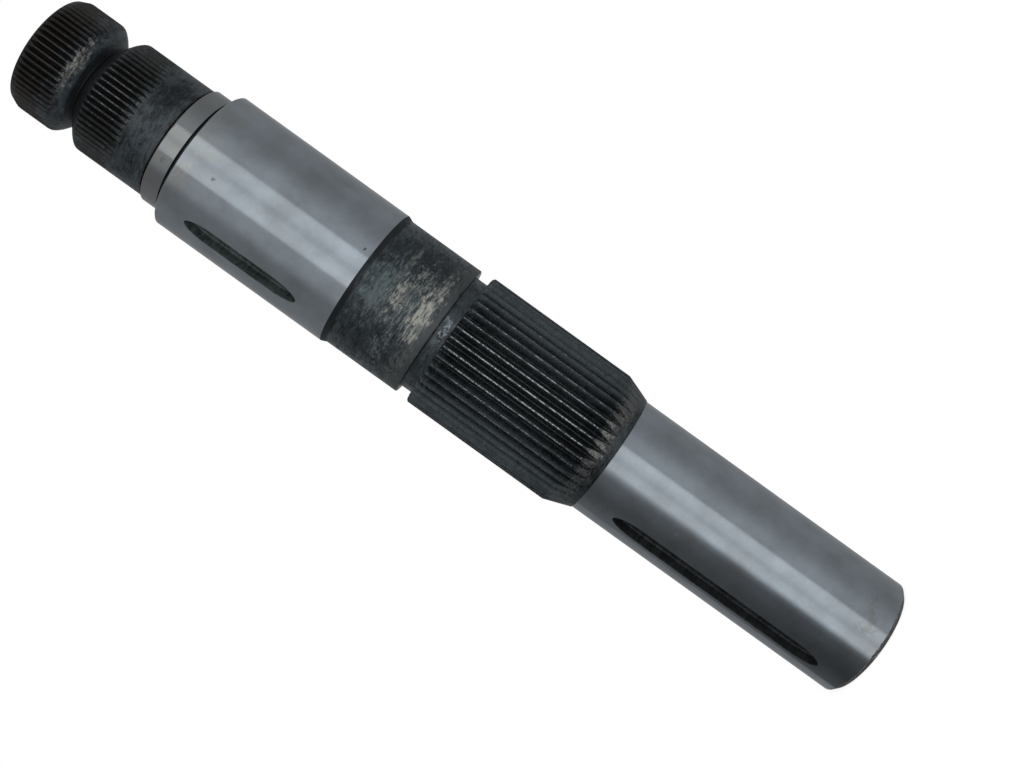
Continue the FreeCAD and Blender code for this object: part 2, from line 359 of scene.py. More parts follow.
@dataclass(frozen=True)
class Serration:
    """The teeth of a spline: straight flanks at an angle, a crest and a root.

    A flank has one more line at a share of its height. The root's middle sags a little, and the
    crest's edges are bevelled.
    """

    radius: float
    teeth: int
    crest: float
    root_flat: float
    first_gap: float
    gap_angle: float = math.radians(60)
    crest_bevel: float = 0.1
    root_sag: float = 0.06
    flank_line: float = 0.55

    def depth(self) -> float:
        """Height of a tooth: half the mouth less half the root, over the flank's slope."""
        return (self.mouth() - self.root_flat / 2) / math.tan(self.gap_angle / 2)

    def mouth(self) -> float:
        """Half the width of a gap between the crests."""
        return (2 * math.pi * self.radius / self.teeth - self.crest) / 2

    def columns(self) -> tuple[np.ndarray, np.ndarray, np.ndarray]:
        """Lays one column on each line of the section, round all the teeth.

        In a gap's own section a flank point stands at x across and at y from the axis, with
        x = mouth - (radius - y) tan(half angle). Its angle is atan2(x, y) and its radius is
        hypot(x, y). The flank ends where that radius is the crest's.

        Returns:
            Angles, radii and tooth heights from 0 to 1.
        """
        slope = math.tan(self.gap_angle / 2)
        root = self.radius - self.depth()
        edge = self.mouth()
        for _ in range(3):
            edge = self.mouth() - (self.radius - math.sqrt(self.radius ** 2 - edge ** 2)) * slope
        edge_height = math.sqrt(self.radius ** 2 - edge ** 2)
        bevel = self.crest_bevel
        near = edge_height - bevel
        middle = root + self.flank_line * (near - root)
        flank = np.array([
            (self.root_flat / 2, root),
            (self.root_flat / 2 + (middle - root) * slope, middle),
            (edge - bevel * slope, near),
        ])
        pitch = 2 * math.pi / self.teeth
        angles = np.concatenate([
            np.arctan2(flank[:, 0], flank[:, 1]),
            [math.atan2(edge, edge_height) + bevel * 0.5 / self.radius, pitch / 2],
        ])
        radii = np.concatenate([np.hypot(flank[:, 0], flank[:, 1]), [self.radius, self.radius]])
        side = np.concatenate([-angles[::-1], [0.0], angles[:-1]])
        side_radii = np.concatenate([radii[::-1], [root - self.root_sag], radii[:-1]])
        gaps = self.first_gap + pitch * (np.arange(self.teeth) - self.teeth // 2)
        all_angles = (gaps[:, None] + side[None]).ravel()
        all_radii = np.tile(side_radii, self.teeth)
        height = np.clip((all_radii - root) / (self.radius - root), 0, FLANK_TOP)
        height[all_radii > self.radius - NEAR] = CREST_EDGE
        height[0::len(side)] = 1.0
        return all_angles, all_radii, height


# Finishes


def linear(code: str) -> tuple[float, float, float, float]:
    """Turns an sRGB hex colour into linear values: v / 12.92, or ((v + 0.055) / 1.055) to the 2.4.

    Args:
        code: the colour, as # and six digits.

    Returns:
        Red, green, blue and a full alpha.
    """
    parts = [int(code[i:i + 2], 16) / 255 for i in (1, 3, 5)]
    red, green, blue = (v / 12.92 if v <= 0.04045 else ((v + 0.055) / 1.055) ** 2.4 for v in parts)
    return red, green, blue, 1.0


def add_node(tree: bpy.types.NodeTree, kind: str, inputs: dict | None = None, **settings) -> bpy.types.Node:
    """Adds a shader node.

    Args:
        tree: the material's tree.
        kind: the node's type, without its ShaderNode prefix.
        inputs: a value or a socket for each input, by name or number.
        settings: the node's own properties.

    Returns:
        The node.
    """
    node = tree.nodes.new("ShaderNode" + kind)
    for name, value in settings.items():
        setattr(node, name, value)
    for key, value in (inputs or {}).items():
        if isinstance(value, bpy.types.NodeSocket):
            tree.links.new(value, node.inputs[key])
        else:
            node.inputs[key].default_value = value
    return node


def empty_tree(owner: bpy.types.Material | bpy.types.World) -> bpy.types.NodeTree:
    """Gives a material or the world a node tree with nothing in it."""
    owner.use_nodes = True
    owner.node_tree.nodes.clear()
    return owner.node_tree


class Coat:
    """A finish in the making, for a stretch of one radius.

    Its patterns read the place, in millimetres from the foot's middle, and the height up a tooth.
    Colour, roughness and metallic are each a socket, or a value where it is the same all over.
    """

    def __init__(self, name: str, radius: float) -> None:
        """Starts the material.

        Args:
            name: the material's name.
            radius: the radius of the stretch that it covers.
        """
        self.radius = radius
        self.material = bpy.data.materials.new(name)
        self.tree = empty_tree(self.material)
        coords = add_node(self.tree, "TexCoord")
        self.place = add_node(self.tree, "VectorMath", {0: coords.outputs["Object"], "Scale": 1 / MM},
                              operation="SCALE").outputs[0]
        self.tooth = add_node(self.tree, "Attribute", attribute_name="tooth").outputs["Fac"]
        self.colour: bpy.types.NodeSocket | tuple[float, float, float, float] = (0.5, 0.5, 0.5, 1.0)
        self.roughness: bpy.types.NodeSocket | float = 0.5
        self.metallic: bpy.types.NodeSocket | float = 1.0

    def lay(self, mask: bpy.types.NodeSocket, colour: str, roughness: float,
            metallic: bpy.types.NodeSocket | float) -> None:
        """Lays another finish over this one.

        Args:
            mask: how much of the other finish shows, from 0 to 1.
            colour: its colour.
            roughness: its roughness.
            metallic: how metallic it is.
        """
        self.colour = add_node(self.tree, "Mix", {0: mask, 6: self.colour, 7: linear(colour)},
                               data_type="RGBA").outputs[2]
        self.roughness = add_node(self.tree, "Mix", {0: mask, 2: self.roughness, 3: roughness}).outputs[0]
        self.metallic = add_node(self.tree, "Mix", {0: mask, 2: self.metallic, 3: metallic}).outputs[0]

    def lay_marks(self, marks: "tuple[Mark, ...]") -> None:
        """Lays marks over the finish, each over those before it."""
        for mark in marks:
            self.lay(mark.mask(self), mark.colour, mark.roughness, mark.bare)

    def finished(self, bumps: bpy.types.NodeSocket, strength: float, height: float,
                 gloss: dict | None = None) -> bpy.types.Material:
        """Adds the shader and its output.

        Args:
            bumps: the pattern of the surface's unevenness.
            strength: how much of it shows.
            height: its height in millimetres.
            gloss: more inputs of the shader, each the same all over.

        Returns:
            The material.
        """
        bump = add_node(self.tree, "Bump", {"Height": bumps, "Strength": strength, "Distance": height * MM})
        inputs = {"Base Color": self.colour, "Roughness": self.roughness, "Metallic": self.metallic,
                  "Normal": bump.outputs[0]}
        shader = add_node(self.tree, "BsdfPrincipled", inputs | (gloss or {}))
        add_node(self.tree, "OutputMaterial", {0: shader.outputs[0]})
        return self.material


@dataclass(frozen=True)
class Mark:
    """A patch, or a ring where no angle is given, of another colour with ragged edges.

    Heights and widths are in millimetres and the angle is in degrees from the key line. The grain
    is the size of the noise along the shaft, and stretch how much longer it is round it. Cover says
    how much of the patch the grain leaves whole, bare how metallic it is, and above from what height
    of a tooth it starts.
    """

    name: str
    colour: str
    height: float
    half_height: float
    angle: float | None = None
    half_width: float = 1000.0
    strength: float = 1.0
    grain: float = 1.5
    stretch: float = 4.0
    cover: float = 0.5
    bare: float = 0.0
    roughness: float = 0.55
    above: float = 0.0

    def mask(self, coat: Coat) -> bpy.types.NodeSocket:
        """Builds the mark's mask.

        The distance from the centre is counted in half heights along the axis and half widths
        across it, and a slow noise bends its rim. The grain is noise that is longer round the shaft
        than along it, and what lies far from the centre needs more of it.

        Args:
            coat: the finish that the mark lies on.

        Returns:
            How much of the mark shows, from 0 to its strength.
        """
        tree, place = coat.tree, coat.place
        rim_bend, rim_start, soft_rim, soft_edge = 1.1, 0.3, 0.3, 0.018
        angle = math.radians(self.angle or 0.0)
        centre = (coat.radius * math.sin(angle), -coat.radius * math.cos(angle), self.height)
        wide = 1 / self.half_width if self.angle is not None else 0.0
        near = add_node(tree, "VectorMath", {0: place, 1: centre}, operation="SUBTRACT")
        near = add_node(tree, "VectorMath", {0: near.outputs[0], 1: (wide, wide, 1 / self.half_height)},
                        operation="MULTIPLY")
        far = add_node(tree, "VectorMath", {0: near.outputs[0]}, operation="LENGTH")
        drift = add_node(tree, "TexNoise", {"Vector": place, "Scale": 1 / (4 * self.grain), "Detail": 1.0})
        drift = add_node(tree, "Math", {0: drift.outputs["Fac"], 1: rim_bend, 2: -rim_bend / 2},
                         operation="MULTIPLY_ADD")
        far = add_node(tree, "Math", {0: far.outputs["Value"], 1: drift.outputs[0]}, operation="ADD")
        fade = add_node(tree, "MapRange", {0: far.outputs[0], 1: rim_start, 2: 1.0, 3: 1.0, 4: 0.0})
        across = 1 / (self.grain * self.stretch)
        streak = add_node(tree, "VectorMath", {0: place, 1: (across, across, 1 / self.grain)},
                          operation="MULTIPLY")
        noise = add_node(tree, "TexNoise", {"Vector": streak.outputs[0], "Scale": 1.0, "Detail": 5.0,
                                            "Roughness": 0.68})
        low = 0.62 - 0.3 * self.cover
        sparse = add_node(tree, "Math", {0: fade.outputs[0], 1: 0.2, 2: -0.2}, operation="MULTIPLY_ADD")
        grainy = add_node(tree, "Math", {0: noise.outputs["Fac"], 1: sparse.outputs[0]}, operation="ADD")
        ragged = add_node(tree, "MapRange", {0: grainy.outputs[0], 1: low - 0.05, 2: low + 0.12, 3: 0.0,
                                             4: self.strength}, interpolation_type="SMOOTHSTEP")
        limit = add_node(tree, "MapRange", {0: fade.outputs[0], 1: 0.0, 2: soft_rim})
        ragged = add_node(tree, "Math", {0: ragged.outputs[0], 1: limit.outputs[0]}, operation="MULTIPLY")
        if self.above > 0:
            high = add_node(tree, "MapRange", {0: coat.tooth, 1: self.above, 2: self.above + soft_edge})
            ragged = add_node(tree, "Math", {0: ragged.outputs[0], 1: high.outputs[0]}, operation="MULTIPLY")
        return ragged.outputs[0]


@dataclass(frozen=True)
class GroundSteel:
    """Steel ground between centres.

    To the eye it is bluish grey with slow clouds, soft-edged reflections and fine rings of grain. The
    rings of a real grinding wheel are too fine to show, so they are drawn 0.35 mm apart.
    """

    colour: str = "#9ba3a9"
    cloud: str = "#8c9296"
    cloud_size: float = 14.0
    wear_size: float = 6.0
    grain: float = 0.35
    grain_height: float = 0.02
    roughness: float = 0.13
    marks: tuple[Mark, ...] = ()

    def material(self, name: str, radius: float) -> bpy.types.Material:
        """Builds the material.

        Args:
            name: the material's name.
            radius: the radius of the stretch that it covers.

        Returns:
            The material.
        """
        coat = Coat(name, radius)
        tree, place = coat.tree, coat.place
        cloud = add_node(tree, "TexNoise", {"Vector": place, "Scale": 1 / self.cloud_size, "Detail": 5.0,
                                            "Roughness": 0.6})
        soft = add_node(tree, "MapRange", {0: cloud.outputs["Fac"], 1: 0.35, 2: 0.68})
        coat.colour = add_node(tree, "Mix", {0: soft.outputs[0], 6: linear(self.colour),
                                             7: linear(self.cloud)}, data_type="RGBA").outputs[2]
        wear = add_node(tree, "TexNoise", {"Vector": place, "Scale": 1 / self.wear_size, "Detail": 4.0,
                                           "Roughness": 0.7})
        coat.roughness = add_node(tree, "MapRange", {0: wear.outputs["Fac"], 1: 0.3, 2: 0.75,
                                                     3: self.roughness - 0.02,
                                                     4: self.roughness + 0.04}).outputs[0]
        coat.lay_marks(self.marks)
        rings = add_node(tree, "VectorMath", {0: place, 1: (0.02, 0.02, 1 / self.grain)},
                         operation="MULTIPLY")
        grain = add_node(tree, "TexNoise", {"Vector": rings.outputs[0], "Scale": 1.0, "Detail": 3.0,
                                            "Roughness": 0.7})
        return coat.finished(grain.outputs["Fac"], 0.25, self.grain_height)


@dataclass(frozen=True)
class HeatScale:
    """Black oxide scale that heat treatment leaves on turned and milled steel.

    To the eye it is a blue-black film with a faint shine, mottled from thin to thick. The gaps of
    the teeth have painted shade: they are darker and duller towards the root. Where crest_wear is set,
    handling has rubbed the crests bare. With other colours and less shine it is also the scale of the
    key slots and the painted shade of the grooves.
    """

    dark: str = "#080b0c"
    pale: str = "#1f292d"
    # The gap colour is painted shade in the gaps of the teeth.
    gap: str = "#060707"
    bare_steel: str = "#7f8486"
    tint: str = "#e8f8ff"
    cloud_size: float = 6.0
    streak: float = 1.1
    pit_size: float = 0.7
    pit_height: float = 0.05
    shine: float = 1.0
    roughness: float = 0.27
    gap_roughness: float = 0.42
    bare_roughness: float = 0.24
    crest_wear: float = 0.3
    marks: tuple[Mark, ...] = ()

    def material(self, name: str, radius: float) -> bpy.types.Material:
        """Builds the material.

        The mottling mixes slow clouds, streaks that run round the shaft and fine pits. The gaps'
        painted shade grows down the flanks and is thickest at the root.

        Args:
            name: the material's name.
            radius: the radius of the stretch that it covers.

        Returns:
            The material.
        """
        coat = Coat(name, radius)
        tree, place = coat.tree, coat.place
        cloud = add_node(tree, "TexNoise", {"Vector": place, "Scale": 1 / self.cloud_size, "Detail": 6.0,
                                            "Roughness": 0.68})
        across = 0.2 / self.streak
        wrap = add_node(tree, "VectorMath", {0: place, 1: (across, across, 1 / self.streak)},
                        operation="MULTIPLY")
        lines = add_node(tree, "TexNoise", {"Vector": wrap.outputs[0], "Scale": 1.0, "Detail": 5.0,
                                            "Roughness": 0.7})
        pits = add_node(tree, "TexNoise", {"Vector": place, "Scale": 1 / self.pit_size, "Detail": 4.0,
                                           "Roughness": 0.75})
        mottle = add_node(tree, "Mix", {0: 0.5, 2: cloud.outputs["Fac"], 3: lines.outputs["Fac"]}).outputs[0]
        mottle = add_node(tree, "Mix", {0: 0.25, 2: mottle, 3: pits.outputs["Fac"]}).outputs[0]
        soft = add_node(tree, "MapRange", {0: mottle, 1: 0.42, 2: 0.6})
        coat.colour = add_node(tree, "Mix", {0: soft.outputs[0], 6: linear(self.dark),
                                             7: linear(self.pale)}, data_type="RGBA").outputs[2]
        coat.roughness = add_node(tree, "MapRange", {0: mottle, 1: 0.4, 2: 0.6, 3: self.roughness + 0.12,
                                                     4: self.roughness - 0.05}).outputs[0]
        coat.metallic = add_node(tree, "MapRange", {0: mottle, 1: 0.41, 2: 0.55, 3: 0.7,
                                                    4: 0.0}).outputs[0]
        # Painted shade in the gaps of the teeth: darker, duller and less shiny down the flanks, and most at
        # the root.
        flank = add_node(tree, "MapRange", {0: coat.tooth, 1: 0.88, 2: PLAIN, 3: 0.65, 4: 0.0}).outputs[0]
        root = add_node(tree, "MapRange", {0: coat.tooth, 1: 0.02, 2: 0.3, 3: 0.95, 4: 0.0}).outputs[0]
        shade_level = add_node(tree, "Math", {0: flank, 1: root}, operation="MAXIMUM").outputs[0]
        shade_metallic = add_node(tree, "Mix", {0: root, 2: 0.2, 3: 0.85}).outputs[0]
        coat.lay(shade_level, self.gap, self.gap_roughness, shade_metallic)
        coat.lay_marks(self.marks)
        if self.crest_wear > 0:
            along = add_node(tree, "VectorMath", {0: place, 1: (0.5, 0.5, 0.4)}, operation="MULTIPLY")
            rub = add_node(tree, "TexNoise", {"Vector": along.outputs[0], "Scale": 1.0, "Detail": 5.0,
                                              "Roughness": 0.72})
            rubbed = add_node(tree, "MapRange", {0: rub.outputs["Fac"], 1: 0.42, 2: 0.6, 3: 0.12, 4: 1.0})
            crest = add_node(tree, "MapRange", {0: coat.tooth, 1: 0.976, 2: 0.995, 3: 0.0,
                                                4: self.crest_wear})
            worn = add_node(tree, "Math", {0: rubbed.outputs[0], 1: crest.outputs[0]},
                            operation="MULTIPLY").outputs[0]
            coat.lay(worn, self.bare_steel, self.bare_roughness, 1.0)
        return coat.finished(pits.outputs["Fac"], 0.6, self.pit_height,
                             {"Specular IOR Level": self.shine, "Specular Tint": linear(self.tint)})


# Marks on each stretch: dust, dried oil, rust, rubbed places and a few painted highlights, each laid over
# those before it


COLLAR_MARKS = (
    Mark("dark_bevel", "#050606", 263.4, 3.0, grain=3.0, cover=1.0, strength=0.8, roughness=0.6, bare=0.6),
    Mark("dark_side", "#050708", 245.0, 24.0, 84.0, 22.0, grain=1.6, cover=0.6, strength=0.7, bare=0.4),
    Mark("dark_pits", "#050708", 244.0, 34.0, grain=0.9, stretch=3.0, cover=0.42, strength=0.7, bare=0.5),
    Mark("earthy_end", "#2e2a27", 227.0, 4.4, strength=0.8, grain=1.6, cover=0.8),
    Mark("earthy_side", "#4f4d49", 230.0, 6.5, 12.0, 20.0, strength=0.8, grain=0.9, stretch=3.0, cover=0.55),
    Mark("pale_ring", "#5f5f5a", 232.0, 5.5, 80.0, 26.0, strength=0.7, grain=0.7, stretch=5.0, cover=0.45),
    Mark("pale_streak", "#6f716c", 249.2, 2.2, 85.0, 18.0, strength=0.7, grain=0.6, stretch=5.0, cover=0.5),
    Mark("blue_side", "#5f6a69", 253.0, 10.0, 50.0, 24.0, strength=0.55, grain=0.8, stretch=3.5, cover=0.62),
    Mark("pale_side", "#63676a", 241.0, 7.0, 7.0, 16.0, strength=0.75, grain=0.8, stretch=2.4, cover=0.45),
    Mark("cream_back", "#70736f", 241.0, 8.0, 76.0, 14.0, strength=0.7, grain=0.7, stretch=2.4, cover=0.42),
    Mark("grey_patch", "#7c7f79", 240.0, 14.0, 52.0, 26.0, grain=0.9, stretch=4.0, cover=0.42, strength=0.8),
    Mark("grey_streaks", "#8b8a80", 231.6, 4.5, 56.0, 30.0, grain=0.7, stretch=7.0, cover=0.46, strength=0.8),
    Mark("cream_patch", "#a8a599", 245.4, 6.5, 55.0, 14.0, grain=1.2, stretch=2.6, cover=0.48, strength=0.85),
    Mark("cream_main", "#b0ac9f", 232.9, 5.5, 52.0, 19.0, grain=1.3, stretch=3.4, cover=0.62, strength=0.9),
    Mark("relief_sheen", "#8a959d", 222.3, 3.6, 54.0, 10.0, grain=0.9, stretch=1.6, cover=0.66, strength=0.85,
         bare=0.8, roughness=0.35),
    Mark("relief_rust", "#4f4640", 220.8, 2.0, 44.0, 9.0, grain=0.7, stretch=1.0, cover=0.5, strength=0.8),
)
SPLINE_MARKS = (
    Mark("brown_gaps", "#120e0c", 184.0, 70.0, 50.0, 22.0, grain=3.0, stretch=0.3, cover=0.7, strength=0.5,
         bare=0.5),
    Mark("dusty_lower", "#262a2b", 180.0, 60.0, 12.0, 17.0, grain=0.9, stretch=0.5, cover=0.55, strength=0.6),
    Mark("dusty_upper", "#2a2d2d", 180.0, 60.0, 86.0, 18.0, grain=0.9, stretch=0.5, cover=0.55, strength=0.6),
    Mark("flecks", "#4a5053", 184.0, 70.0, grain=0.6, stretch=0.35, cover=0.3, strength=0.7),
    Mark("worn_crests", "#c3c6c6", 186.0, 80.0, 50.5, 30.0, grain=0.9, stretch=0.6, cover=0.52, bare=1.0,
         roughness=0.25, above=0.977),
    Mark("cone_dust", "#47443f", 142.0, 7.0, grain=0.8, stretch=1.5, cover=0.5, strength=0.75),
    Mark("cone_side", "#5d5852", 142.0, 7.0, 92.0, 24.0, grain=0.7, stretch=1.5, cover=0.5, strength=0.75),
    Mark("worn_tips", "#97948c", 144.2, 6.0, 58.0, 24.0, grain=1.2, stretch=1.2, cover=0.55, strength=0.85,
         bare=0.3, above=0.95),
    Mark("pale_tips", "#4c5052", 144.0, 6.0, grain=1.0, stretch=1.2, cover=0.5, strength=0.7, above=0.9),
    Mark("pale_end", "#4a4f50", 217.6, 4.6, grain=0.9, stretch=1.5, cover=0.4, strength=0.6),
)
HEAD_MARKS = (
    Mark("grimy_crests", "#0a0b0b", 400.0, 80.0, grain=2.0, cover=0.8, strength=0.6, bare=0.4, above=0.972),
    Mark("earthy_neck", "#2b2926", 387.0, 9.0, grain=2.4, stretch=1.0, cover=0.9, strength=0.65, bare=1.0,
         roughness=0.36),
    Mark("earthy_head", "#302c28", 423.0, 12.0, grain=2.4, stretch=1.0, cover=0.95, strength=0.8, bare=1.0,
         roughness=0.36),
    # A paler blue patch on the head's wall of the V groove, on the side towards the camera, is painted light.
    Mark("painted_light_flank", "#3f4c52", 406.0, 3.6, 50.0, 34.0, grain=1.6, stretch=3.0, cover=0.75, strength=0.6,
         roughness=0.35, above=0.93),
    Mark("pale_shoulder", "#5f605d", 408.4, 3.8, 52.0, 30.0, strength=0.7, grain=0.7, stretch=2.6, cover=0.5),
    Mark("cream_shoulder", "#a5a197", 408.3, 3.8, 53.5, 18.0, strength=0.8, grain=0.8, stretch=3.4,
         cover=0.5),
    Mark("worn_crests", "#8f9191", 388.0, 20.0, 52.0, 22.0, grain=0.7, stretch=0.6, cover=0.4, bare=1.0,
         roughness=0.3, strength=0.7, above=0.977),
    Mark("runout_tips", "#5c5a56", 376.9, 2.2, 46.0, 26.0, grain=0.7, stretch=1.0, cover=0.42, strength=0.7,
         above=0.95),
    Mark("bluish_neck", "#36434a", 368.0, 10.0, 38.0, 26.0, grain=0.8, stretch=3.0, cover=0.42, strength=0.7),
    Mark("dark_neck", "#08090a", 369.0, 9.0, 78.0, 18.0, strength=0.5, grain=2.0, stretch=2.0, cover=0.6,
         bare=0.6),
    Mark("pale_neck_ring", "#3b4446", 363.4, 2.2, grain=0.7, stretch=6.0, cover=0.5, strength=0.7),
)
JOURNAL_MARKS = (
    Mark("warm_end", "#a09d94", 345.0, 18.0, 58.0, 44.0, strength=0.3, grain=9.0, stretch=1.0, cover=0.6,
         bare=1.0, roughness=0.15),
    Mark("yellow_stain", "#8a7f66", 346.0, 4.0, 33.5, 7.0, strength=0.4, grain=1.4, stretch=1.0, cover=0.55,
         bare=1.0, roughness=0.2),
    Mark("brown_speck", "#4a3f33", 333.5, 1.2, 43.3, 1.6, strength=0.8, grain=0.5, stretch=1.0, cover=0.6),
    Mark("dark_speck", "#2c241d", 267.4, 1.0, 66.6, 1.0, strength=0.9, grain=0.9, stretch=1.0, cover=1.0),
    Mark("light_speck", "#b9bcbc", 344.7, 0.6, 51.5, 0.6, grain=0.6, stretch=1.0, cover=1.0),
)
BAND_MARKS = (
    Mark("brown_stain", "#574a3d", 356.2, 1.3, 30.8, 2.4, strength=0.7, grain=0.7, stretch=1.5, cover=0.6),
    Mark("rusty_edge", "#6b5140", 360.3, 0.6, grain=1.0, stretch=5.0, cover=0.6, strength=0.6),
)
END_MARKS = (
    Mark("brown_foot", "#3d342b", 0.9, 1.8, grain=1.2, stretch=3.0, cover=0.9, strength=0.9),
    Mark("foot_stain", "#7b7365", 12.0, 8.0, 66.0, 12.0, strength=0.35, grain=3.0, stretch=1.0, cover=0.6,
         bare=0.8, roughness=0.25),
    Mark("side_stain", "#7b7365", 21.5, 5.0, 12.6, 7.0, strength=0.35, grain=2.4, stretch=1.0, cover=0.5,
         bare=0.8, roughness=0.25),
    Mark("brown_speck", "#50453a", 96.2, 1.0, 26.6, 1.0, strength=0.8, grain=0.6, stretch=1.0, cover=0.8),
    Mark("top_stain", "#5a5147", 126.0, 5.0, 0.5, 7.0, strength=0.45, grain=1.2, stretch=1.0, cover=0.45,
         bare=0.6, roughness=0.3),
)


# Sub-assemblies, from the foot up


@dataclass
class Journal:
    """A ground bearing seat with a key slot, and a centre hole where it ends the shaft."""

    name: str
    low: float
    high: float
    radius: float
    slot: KeySlot
    finish: GroundSteel
    slot_finish: HeatScale
    foot: CentreHole | None = None
    foot_bevel: float = 2.0
    head_bevel: float = 0.0
    head_wall: float = 0.0
    columns: int = 360
    window_columns: int = 12

    def outline(self) -> np.ndarray:
        """Draws the seat's outline, with the rows that frame the slot.

        Returns:
            Rows of height and radius, from the foot up.
        """
        corners = []
        if self.foot is not None:
            corners += self.foot.corners(self.low, 1.0)
            corners += [(self.low, self.radius - self.foot_bevel, 0.35),
                        (self.low + self.foot_bevel, self.radius, 0.5)]
        else:
            corners += [(self.low, self.radius, 0.0)]
        if self.head_bevel > 0:
            corners += [(self.high - self.head_bevel, self.radius, 0.2),
                        (self.high, self.radius - self.head_bevel, 0.15),
                        (self.high, self.head_wall, 0.0)]
        else:
            corners += [(self.high, self.radius, 0.0)]
        rows = softened(corners)
        slot_rows = self.slot.rows()
        below = (np.abs(rows[:, 1] - self.radius) < NEAR) & (rows[:, 0] < slot_rows[0])
        split = int(np.flatnonzero(below)[-1]) + 1
        between = np.stack([slot_rows, np.full_like(slot_rows, self.radius)], axis=-1)
        return np.concatenate([rows[:split], between, rows[split:]])

    def build(self) -> bpy.types.Object:
        """Builds the seat as rows round the axis, with a window that the slot fills.

        Returns:
            The piece.
        """
        surface = Surface()
        rows = self.outline()
        angles = np.linspace(-math.pi, math.pi, self.columns, endpoint=False)
        numbers = surface.add_points(round_axis(rows[:, 1:], rows[:, :1], angles))
        slot_rows = self.slot.rows()
        elsewhere = np.abs(rows[:, 1] - self.radius) > NEAR
        first = int(np.argmin(np.abs(rows[:, 0] - slot_rows[0]) + elsewhere))
        last = first + len(slot_rows) - 1
        left = self.columns // 2 - self.window_columns
        right = self.columns // 2 + self.window_columns
        keep = np.ones((len(rows) - 1, self.columns), bool)
        keep[first:last, left:right] = False
        surface.add_rows(numbers, Skin.GROUND, keep)
        window = np.concatenate([
            numbers[first, left:right], numbers[first:last, right],
            numbers[last, right:left:-1], numbers[last:first:-1, left]])
        self.slot.sink(surface, window, self.radius)
        surface.add_cap(numbers[0], Skin.SLOT if self.foot else Skin.GROUND, down=True)
        surface.add_cap(numbers[-1], Skin.GROUND)
        ground = self.finish.material(self.name + "_ground_steel", self.radius)
        slot = self.slot_finish.material(self.name + "_slot_scale", self.radius)
        return surface.finish(self.name, [ground, slot, slot])


@dataclass
class CoarseSpline:
    """The spline in the middle, whose gaps fade out on a cone. A tooth lies on the key line.

    Under the cone is a short step, with a broken edge. The head's face runs in to the relief groove.
    """

    low: float = 136.0
    cone_head: float = 148.0
    high: float = 219.4
    foot_radius: float = 27.5
    step_radius: float = 28.1
    relief_radius: float = 28.0
    edge_bevel: float = 0.8
    step_height: float = 0.6
    least_drop: float = 0.2
    teeth: Serration = Serration(32.2, 42, 0.75, 0.7, math.pi / 42)
    finish: HeatScale = HeatScale(shine=0.74, roughness=0.32, crest_wear=0.2, marks=SPLINE_MARKS)

    def build(self) -> bpy.types.Object:
        """Builds the spline.

        Each column keeps its radius g over the teeth. Down the cone it leaves the gap at the height
        where the cone is as wide as g, and at the top the bevel cuts it off in the same way.

        Returns:
            The piece.
        """
        angles, gap, height = self.teeth.columns()
        crest = self.teeth.radius
        cone_foot = self.low + self.step_height
        slope = (self.cone_head - cone_foot) / (crest - self.step_radius)
        leave = cone_foot + (gap - self.step_radius) * slope
        bevel_foot = crest - self.edge_bevel
        over = np.minimum(self.high - (gap - bevel_foot), self.high - self.least_drop)
        stations = [
            (self.low, self.foot_radius, PLAIN),
            (self.low + 0.1, self.step_radius - 0.15, PLAIN),
            (cone_foot, self.step_radius, PLAIN),
        ]
        for share in (0.25, 0.5, 0.75, 0.985):
            z = cone_foot + (leave - cone_foot) * share
            stations.append((z, self.step_radius + (z - cone_foot) / slope, PLAIN))
        stations += [(leave + (over - leave) * share, gap, height) for share in (0.0, 0.02, 0.5, 0.98)]
        stations += [
            (over, gap, height),
            (self.high, np.minimum(gap, bevel_foot), height * 0.9),
            (self.high, np.minimum(gap, self.relief_radius + 0.6), PLAIN),
            (self.high, self.relief_radius, PLAIN),
        ]
        surface = Surface()
        surface.add_stations(stations, angles)
        scale = self.finish.material("coarse_spline_scale", crest)
        return surface.finish("coarse_spline", [scale, scale, scale])


@dataclass
class TurnedStretch:
    """A plain turned stretch: its outline carried round the axis, each row with its own finish.

    It is ground between two heights. Its grooves, below a radius, are painted near black: painted shade.
    """

    name: str
    corners: list[tuple[float, float, float]]
    ground: tuple[float, float]
    scale: HeatScale
    bright: GroundSteel
    groove_radius: float = 0.0
    # The grooves' near-black finish is painted shade.
    painted_shade: HeatScale = HeatScale("#0a0a0a", "#161616", shine=0.3, roughness=0.6, crest_wear=0.0)
    columns: int = 240

    def build(self) -> bpy.types.Object:
        """Builds the stretch, ground between two heights and black elsewhere.

        Returns:
            The piece.
        """
        surface = Surface()
        rows = softened(self.corners)
        angles = np.linspace(-math.pi, math.pi, self.columns, endpoint=False)
        numbers = surface.add_points(round_axis(rows[:, 1:], rows[:, :1], angles))
        middle = (rows[:-1, 0] + rows[1:, 0]) / 2
        shiny = (middle > self.ground[0]) & (middle < self.ground[1])
        skins = np.where(shiny, Skin.GROUND.value, Skin.SCALE.value)
        skins[np.minimum(rows[:-1, 1], rows[1:, 1]) < self.groove_radius] = Skin.SLOT.value
        surface.add_rows(numbers, skins)
        surface.add_cap(numbers[0], Skin.SCALE, down=True)
        surface.add_cap(numbers[-1], Skin.SCALE)
        radius = float(rows[:, 1].max())
        bright = self.bright.material(self.name + "_ground_steel", radius)
        scale = self.scale.material(self.name + "_scale", radius)
        painted_shade = self.painted_shade.material(self.name + "_groove_grime", radius)
        return surface.finish(self.name, [bright, scale, painted_shade])


